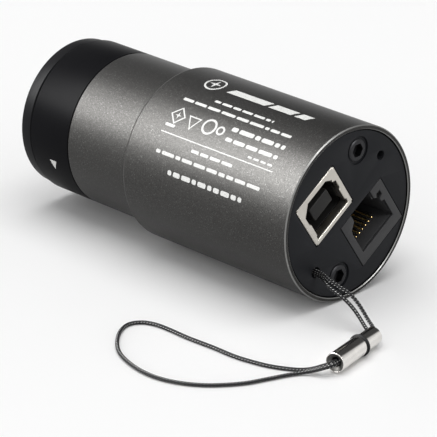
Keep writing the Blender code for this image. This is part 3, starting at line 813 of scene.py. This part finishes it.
def inked_strip(mesh_data, rows, angle, radius):
    """Thin raised ink between rows of (arc, start, end), a start and an end station for each arc."""
    columns = 8
    layers = []
    for height in (radius, radius + INK_THICK):
        layer = []
        for arc, start, end in rows:
            line = []
            for index in range(columns + 1):
                x = start + (end - start) * index / columns
                line.append(mesh_data.verts.new(on_shell(x, arc, angle, height)))
            layer.append(line)
        layers.append(layer)
    low, high = layers
    last = len(rows) - 1
    for row in range(last):
        for index in range(columns):
            for layer in (low, high):
                mesh_data.faces.new((layer[row][index], layer[row][index + 1],
                                     layer[row + 1][index + 1], layer[row + 1][index]))
        for index in (0, columns):
            mesh_data.faces.new((low[row][index], low[row + 1][index],
                                 high[row + 1][index], high[row][index]))
    for row in (0, last):
        for index in range(columns):
            mesh_data.faces.new((low[row][index], low[row][index + 1],
                                 high[row][index + 1], high[row][index]))


def dash(mesh_data, x_start, x_end, angle, height):
    """Ink dash along the body, with rounded ends."""
    rows = []
    steps = 8
    for index in range(steps + 1):
        t = 2 * index / steps - 1
        inset = 0.3 * min(height, x_start - x_end) * (1 - math.sqrt(max(0.0, 1 - abs(t) ** 3)))
        rows.append((t * height / 2, x_start - inset, x_end + inset))
    inked_strip(mesh_data, rows, angle, PRINT_R)


def ring_mark(mesh_data, x_mm, angle, outer, inner, corners=48, turn=0.0):
    """Closed outline mark, round or with corners, as a thin ring of ink."""
    count = corners * 4
    sector = 2 * math.pi / corners
    loops = []
    for reach, height in ((inner, PRINT_R), (outer, PRINT_R), (outer, PRINT_R + INK_THICK),
                          (inner, PRINT_R + INK_THICK)):
        loop = []
        for index in range(count):
            t = 2 * math.pi * index / count
            side = (t + sector / 2) % sector - sector / 2
            flat = reach * math.cos(sector / 2) / math.cos(side) if corners < 12 else reach
            loop.append(mesh_data.verts.new(on_shell(x_mm - flat * math.cos(t + turn),
                                                     flat * math.sin(t + turn), angle, height)))
        loops.append(loop)
    skin(mesh_data, loops + loops[:1])


def star_mark(mesh_data, x_mm, angle, size):
    """Four-pointed star: two crossed slender diamonds, one a hair above the other."""
    slender = 0.22
    steps = 12
    for tall, wide, lift in ((size * slender, size, 0.0), (size, size * slender, 0.002)):
        rows = []
        for index in range(steps + 1):
            t = 2 * index / steps - 1
            half = wide * (1 - abs(t)) + 0.01
            rows.append((t * tall, x_mm + half, x_mm - half))
        inked_strip(mesh_data, rows, angle, PRINT_R + lift)


def dashed_row(mesh_data, x_start, x_end, angle, height, seed, longest=3.8):
    """Row of dashes of uneven length, as a plain stand-in for a printed line."""
    shortest, gap = 0.9, 0.45
    chance = random.Random(seed)
    x = x_start
    while x > x_end + 0.3:
        width = min(chance.uniform(shortest, longest), x - x_end)
        dash(mesh_data, x, x - width, angle, height)
        x -= width + gap


def slanted_bar(mesh_data, x_start, x_end, angle, height, slant):
    """Ink bar along the body with both its ends cut at the same slant."""
    rows = [(t * height / 2, x_start - slant * t, x_end - slant * t) for t in (-1.0, -0.5, 0.0, 0.5, 1.0)]
    inked_strip(mesh_data, rows, angle, PRINT_R)


def make_print():
    """Generic white marks on the shell: a star in a ring, slanted bars, simple icons and dashes."""
    title, badges = 84.9, 50.4
    mesh_data = bmesh.new()
    ring_mark(mesh_data, 34.1, title, 2.3, 1.9)
    star_mark(mesh_data, 34.1, title, 1.5)
    for x_start, x_end in ((29.4, 19.2), (18.2, 12.4), (11.4, 8.6)):
        slanted_bar(mesh_data, x_start, x_end, 83.4, 1.7, 0.55)
    ring_mark(mesh_data, 34.6, badges, 1.95, 1.55, 4, math.radians(45))
    star_mark(mesh_data, 34.6, badges, 0.8)
    ring_mark(mesh_data, 30.4, badges - 0.4, 1.95, 1.45, 3, math.radians(90))
    ring_mark(mesh_data, 26.2, badges, 1.75, 1.30)
    dash(mesh_data, 36.4, 33.9, 42.6, 0.6)
    ring_mark(mesh_data, 23.2, badges, 1.0, 0.6)
    dash(mesh_data, 36.6, 6.8, 37.4, 0.22)
    # each line: start and end station, angle, height, seed and sometimes a shorter longest dash
    lines = (
        (29.7, 14.1, 69.6, 0.60, 3), (36.4, 7.8, 63.1, 0.66, 5), (21.0, 7.2, 54.4, 0.95, 8),
        (21.0, 7.4, 46.7, 0.80, 13), (13.9, 7.2, 40.9, 0.40, 21, 1.6), (27.4, 16.3, 32.0, 0.62, 34, 3.0),
        (35.9, 7.5, 24.7, 0.70, 55, 3.4), (31.7, 11.9, 14.0, 0.95, 89, 2.4),
    )
    for line in lines:
        dashed_row(mesh_data, *line)
    finish_piece("shell_print", mesh_data, "housing", "body_paint", look=INK, sharp=20.0)


def make_index_mark():
    """Small white triangle on the nose ring."""
    middle = 66.5
    mark = bmesh.new()
    rows = [(arc, middle + half, middle - half) for arc, half in ((-1.1, 0.02), (0.0, 0.5), (1.0, 0.95))]
    inked_strip(mark, rows, -17.8, BARREL_R + INK_GAP)
    finish_piece("ring_index_mark", mark, "nose_ring", "black_metal", look=INK, sharp=20.0)


make_housing()
make_nose_ring()
make_cap()
make_print()
make_index_mark()


# ---- rear face

def rectangle(width, height, u=0.0, v=0.0, corner=0.0):
    """Loop of a rectangle round a middle point, with rounded corners."""
    points = [(u - width / 2, v - height / 2, corner), (u + width / 2, v - height / 2, corner),
              (u + width / 2, v + height / 2, corner), (u - width / 2, v + height / 2, corner)]
    return [tuple(point) for point in filleted(points, closed=True, steps=3)]


def spot_of(node):
    """Centre of a CAD node in the plate, in millimetres from the axis."""
    centre = centre_of(node)
    return centre.y / MM, (centre.z - AXIS_Z) / MM


def port_opening(node, width, height, corner):
    """Loop of a port's opening, in the frame of the whole plate."""
    y, z = spot_of(node)
    cosine, sine = math.cos(math.radians(PORT_ROLL)), math.sin(math.radians(PORT_ROLL))
    points = rectangle(width, height, corner=corner)
    return [(y + u * cosine - v * sine, z + u * sine + v * cosine) for u, v in points]


def make_plate():
    """Black plate with crisp openings, and the floor of the two screw recesses behind it."""
    rear, front = stations_of("rear_plate")
    recess_floor = 0.62
    screws = [spot_of(node) for node in ("rear_screw_1", "rear_screw_2")]
    shared = [
        circle(PLATE_R - SKIN_GAP, 0.0, 0.0, 200),
        port_opening("usb_shell", 12.0, 10.8, 0.35),
        port_opening("st4_jack", 13.2, 11.9, 0.25),
        circle(0.95, *spot_of("light_pipe"), 32),
        circle(1.08, *spot_of("lanyard_knot"), 32),
    ]
    recesses = [circle(2.78, *spot, 56) for spot in screws]
    shanks = [circle(1.7, *spot, 32) for spot in screws]
    face = sheet_mesh(shared + recesses, rear, recess_floor, 0.10, ON_AXIS)
    back = sheet_mesh(shared + shanks, recess_floor, front, 0.04, ON_AXIS)
    finish_piece("rear_plate_moulded", joined(face, back), "housing", "black_plate", "rear_plate")


def make_screws():
    """Socket screws: a low domed head with a hexagon recess."""
    shank_r, tip = 1.42, 7.9
    outline = [
        (0.28, 0.0, 0.0), (0.28, 1.92, 0.15), (0.46, 2.20, 0.15), (0.70, 2.26, 0.0),
        (0.70, shank_r, 0.0), (tip, shank_r, 0.3), (tip, 0.0, 0.0),
    ]
    key_r = 1.44
    recess = [(-0.5, 0.0, 0.0), (-0.5, key_r, 0.0), (1.7, key_r, 0.0), (2.0, 0.0, 0.0)]
    for number in (1, 2):
        node = f"rear_screw_{number}"
        screw = turned(outline, False, 72, placed_on(node))
        piece = finish_piece(f"socket_screw_{number}", screw, "housing", "black_steel", node)
        subtract(piece, turned(recess, False, 6, placed_on(node)))


def make_usb():
    """Metal shell with stepped side springs, and the dark tongue and four contacts inside it."""
    place = placed_on("usb_shell", PORT_ROLL)
    half_w, half_h, notch = 5.88, 5.28, 0.34
    outer = []
    for su, sv in ((-1, -1), (1, -1), (1, 1), (-1, 1)):
        corner = [(su * half_w, sv * (half_h - notch)), (su * (half_w - notch), sv * (half_h - notch)),
                  (su * (half_w - notch), sv * half_h)]
        if su * sv > 0:
            outer += corner
        else:
            outer += reversed(corner)
    opening = [
        (-4.75, 4.35), (-4.75, 3.5), (-4.45, 3.3), (-4.45, 0.2), (-4.75, 0.0), (-4.75, -2.1),
        (-2.75, -4.1), (2.8, -4.1), (4.2, -2.9), (4.0, -2.5), (4.85, -2.1), (4.85, 0.0),
        (4.5, 0.25), (4.5, 3.1), (4.85, 3.35), (4.85, 4.35),
    ]
    flange = sheet_mesh([outer, opening], PORT_FACE, 2.2, 0.20, place)
    can = sheet_mesh([rectangle(11.2, 10.0, corner=0.5)], 9.5, PORT_BACK, 0.2, place)
    finish_piece("usb_socket_shell", joined(flange, can), "housing", "nickel", "usb_shell")
    # painted shade: the tongue and the liner take the darker copy of the port plastic
    tongue = sheet_mesh([rectangle(5.6, 3.2, corner=0.3)], 1.2, 9.3, 0.22, place)
    base = sheet_mesh([rectangle(9.0, 8.0, corner=0.4)], 9.2, 11.2, 0.1, place)
    finish_piece("usb_tongue", joined(tongue, base), "housing", "port_plastic", "usb_insulator",
                 MATERIALS["port_plastic_painted_shade"])
    sleeve = [(-5.2, -4.6), (5.2, -4.6), (5.2, 4.6), (-5.2, 4.6)]
    liner = sheet_mesh([sleeve, opening], 2.25, 9.4, 0.04, place)
    finish_piece("usb_liner", liner, "housing", "port_plastic", look=MATERIALS["port_plastic_painted_shade"])
    contact_pitch, contact_offset = 2.5, 1.66
    for number in range(4):
        across = (number % 2 - 0.5) * contact_pitch
        up = -contact_offset if number < 2 else contact_offset
        strip = sheet_mesh([rectangle(1.0, 0.22, across, up, 0.08)], 3.4, 9.2, 0.04, place)
        finish_piece(f"usb_contact_leaf_{number + 1}", strip, "housing", "gold",
                     f"usb_contact_{number + 1}")


def make_guide_port():
    """Modular jack: stepped mouth with a latch notch, comb walls, floor lip and six gold wires."""
    place = placed_on("st4_jack", PORT_ROLL)
    half_w, half_h, low, high, side = 6.48, 5.83, -3.3, 3.45, 4.9
    outer = [
        (-side, high), (side, high), (side, low + 2.1), (side - 0.8, low + 1.7), (side - 0.8, low + 0.9),
        (side + 0.15, low + 0.5), (side + 0.15, low - 0.7), (side - 0.9, low - 0.7),
        (side - 1.3, low + 0.1), (3.0, low - 0.5), (3.0, -half_h), (half_w, -half_h),
        (half_w, half_h), (-half_w, half_h), (-half_w, -half_h), (-3.2, -half_h), (-3.2, low - 0.9),
        (-side + 0.2, low + 0.3), (-side, low + 1.1),
    ]
    mouth = sheet_mesh([outer], PORT_FACE, 0.90, 0.15, place)
    finish_piece("guide_jack_mouth", mouth, "housing", "port_plastic", "st4_jack")
    wall_w, wall_h = 5.95, 5.35
    inner = [
        (-wall_w, -wall_h), (-3.1, -wall_h), (-3.1, low), (-side, low), (-side, high), (side, high),
        (side, low), (2.9, low), (2.9, -wall_h), (wall_w, -wall_h), (wall_w, wall_h), (-wall_w, wall_h),
    ]
    throat = sheet_mesh([inner], 0.86, 11.5, 0.05, place)
    back = sheet_mesh([rectangle(2 * wall_w, 2 * wall_h, corner=0.3)], 11.4, PORT_BACK, 0.15, place)
    combs = []
    for number in range(7):
        across = (number - 3) * WIRE_PITCH
        rib = rectangle(0.30, 0.62, across, high - 0.25, 0.05)
        combs.append(sheet_mesh([rib], 4.6, 11.4, 0.03, place))
    # painted light: the throat walls take the lighter copy of the port plastic
    finish_piece("guide_jack_throat", throat, "housing", "port_plastic", look=MATERIALS["port_plastic_painted_light"])
    # painted shade: the back and the combs take the darker copy of the port plastic
    finish_piece("guide_jack_back", joined(back, *combs), "housing", "port_plastic",
                 look=MATERIALS["port_plastic_painted_shade"])
    for number in range(6):
        make_wire(number, (number - 2.5) * WIRE_PITCH - 0.08, high, place)


def make_wire(number, across, floor, place):
    """Round gold wire with a narrowed tip near the mouth, which runs back and rises from the floor."""
    route = [(3.60, floor - 0.56), (3.80, floor - 0.44), (4.3, floor - 0.32), (5.6, floor - 0.36),
             (7.4, floor - 0.62), (9.2, floor - 1.05), (10.6, floor - 1.5)]
    points = smooth_points([Vector((station(x), across * MM, v * MM)) for x, v in route], 0.3 * MM)
    sides = 10
    radii = [0.09 * MM, 0.17 * MM] + [0.20 * MM] * (len(points) - 2)
    side = Vector((0.0, 1.0, 0.0))
    mesh_data = bmesh.new()
    rings = []
    for index, (point, radius) in enumerate(zip(points, radii)):
        tangent = (points[min(index + 1, len(points) - 1)] - points[max(index - 1, 0)]).normalized()
        other = tangent.cross(side)
        ring = []
        for count in range(sides):
            turn = 2 * math.pi * count / sides
            outward = side * math.cos(turn) + other * math.sin(turn)
            ring.append(mesh_data.verts.new(point + radius * outward))
        rings.append(ring)
    skin(mesh_data, rings)
    mesh_data.faces.new(rings[0])
    mesh_data.faces.new(rings[-1])
    mesh_data.transform(place)
    finish_piece(f"guide_wire_{number + 1}", mesh_data, "housing", "gold", f"st4_contact_{number + 1}")


def make_light_pipe():
    """Smoked pipe set back in its hole, with a domed end."""
    outline = [(2.9, 0.0, 0.0), (3.0, 0.55, 0.2), (3.35, 0.86, 0.2), (14.3, 0.86, 0.1), (14.3, 0.0, 0.0)]
    pipe = turned(outline, False, 40, placed_on("light_pipe"))
    finish_piece("light_pipe_smoked", pipe, "housing", "light", "light_pipe")


make_plate()
make_screws()
make_usb()
make_guide_port()
make_light_pipe()


# ---- window, seals and the inside

def make_window():
    """Window and its slotted retaining ring, seen when the cap is off, and the two seals."""
    outline = [
        (59.15, 13.05, 0.1), (60.85, 13.05, 0.15), (60.85, 12.5, 0.1), (60.2, 11.7, 0.2),
        (59.15, 11.7, 0.1),
    ]
    ring = finish_piece("window_retainer_ring", turned(outline, facets=INNER_FACETS), "housing",
                        "black_metal", "window_retainer")
    subtract(ring, sheet_mesh([rectangle(1.4, 29.0)], 60.25, 61.6, 0.05, ON_AXIS))
    outline = [(57.85, 0.0, 0.0), (57.85, 13.0, 0.15), (58.85, 13.0, 0.15), (58.85, 0.0, 0.0)]
    finish_piece("window_pane", turned(outline, False, INNER_FACETS), "housing", "glass", "window_glass")
    for name, node, body, inner, outer, rear, front in (
            ("window_seal_ring", "window_seal", "housing", 12.05, 13.05, 57.17, 57.58),
            ("nose_seal_ring", "nose_seal", "seal_carrier", 14.98, 15.38, 61.55, 62.08)):
        outline = [(rear, inner, 0.15), (rear, outer, 0.15), (front, outer, 0.15), (front, inner, 0.15)]
        finish_piece(name, turned(outline, facets=INNER_FACETS), body, "rubber", node)


def dress_inside():
    """Give every CAD node the material of its slot, which shows on those that stay in the model."""
    slots = {entry["node"]: entry["material_slot"] for entry in frame["record"]["subparts"]}
    for name, obj in NODES.items():
        look = MATERIALS[slots[name]]
        if not obj.material_slots:
            obj.data.materials.append(look)
        for held in obj.material_slots:
            held.material = look


make_window()
dress_inside()


# ---- floor, world and lights

def make_floor():
    """Wide pale floor under the object."""
    mesh = bpy.data.meshes.new("floor")
    half = 3.0
    mesh.from_pydata([(-half, -half, 0), (half, -half, 0), (half, half, 0), (-half, half, 0)], [],
                     [(0, 1, 2, 3)])
    s = Shader("studio_floor", (0.93, 0.93, 0.93), 0.75)
    s.colour(s.ramp(s.noise(6.0, 2.0), (0.3, (0.925, 0.925, 0.925)), (0.7, (0.94, 0.94, 0.94))))
    mesh.materials.append(s.material)
    floor = linked("floor", mesh)
    return floor


def make_world():
    """Studio surroundings: an even pale tent, dimmer overhead, with a dark card high behind."""
    world = bpy.data.worlds.new("studio")
    bpy.context.scene.world = world
    world.use_nodes = True
    tree = world.node_tree
    new, link = tree.nodes.new, tree.links.new
    background = tree.nodes["Background"]
    place = new("ShaderNodeTexCoord")
    split = new("ShaderNodeSeparateXYZ")
    ramp = new("ShaderNodeValToRGB")
    link(place.outputs["Generated"], split.inputs["Vector"])
    link(split.outputs["Z"], ramp.inputs["Fac"])
    elements = ramp.color_ramp.elements
    elements.new(0.30)
    for element, (position, grey) in zip(elements, ((0.0, 1.05), (0.25, 1.0), (0.60, 0.60))):
        element.position = position
        element.color = (grey, grey, grey, 1.0)
    facing = new("ShaderNodeVectorMath")
    facing.operation = "DOT_PRODUCT"
    facing.inputs[1].default_value = Vector((0.30, -0.73, 0.61)).normalized()
    link(place.outputs["Generated"], facing.inputs[0])
    card = new("ShaderNodeMapRange")
    card.interpolation_type = "SMOOTHSTEP"
    for key, amount in (("From Min", 0.80), ("From Max", 0.91), ("To Min", 1.0), ("To Max", 0.10)):
        card.inputs[key].default_value = amount
    link(facing.outputs["Value"], card.inputs["Value"])
    shade = new("ShaderNodeMix")
    shade.data_type = "RGBA"
    shade.blend_type = "MULTIPLY"
    shade.inputs["Factor"].default_value = 1.0
    link(ramp.outputs["Color"], shade.inputs["A"])
    link(card.outputs["Result"], shade.inputs["B"])
    link(shade.outputs["Result"], background.inputs["Color"])
    background.inputs["Strength"].default_value = 1.0


def softbox(name, direction, distance, size, power, spare=()):
    """Square area light that faces the middle of the body. It can spare some pieces its light."""
    data = bpy.data.lights.new(name, "AREA")
    data.size = size
    data.energy = power
    light = linked(name, data)
    away = Vector(direction).normalized()
    light.location = AXIS + away * distance
    light.rotation_euler = (-away).to_track_quat("-Z", "Y").to_euler()
    if spare:
        flagged = bpy.data.collections.new(f"{name}_flagged")
        light.light_linking.receiver_collection = flagged
        for piece in spare:
            flagged.objects.link(piece)
        for entry in flagged.collection_objects:
            entry.light_linking.link_state = "EXCLUDE"


def make_lights(floor):
    """Key and rear fill, which spare the floor, and an even wash from above."""
    softbox("key_softbox", (0.46, 0.64, 0.63), 0.60, 0.46, 14.6, (floor,))
    softbox("rear_fill", (-0.80, -0.10, 0.60), 0.90, 0.32, 5.0, (floor,))
    softbox("overhead_wash", (0.0, 0.0, 1.0), 1.60, 1.60, 16.5)


make_world()
make_lights(make_floor())
bpy.context.scene.view_settings.view_transform = "Standard"
bpy.context.scene.view_settings.look = "None"
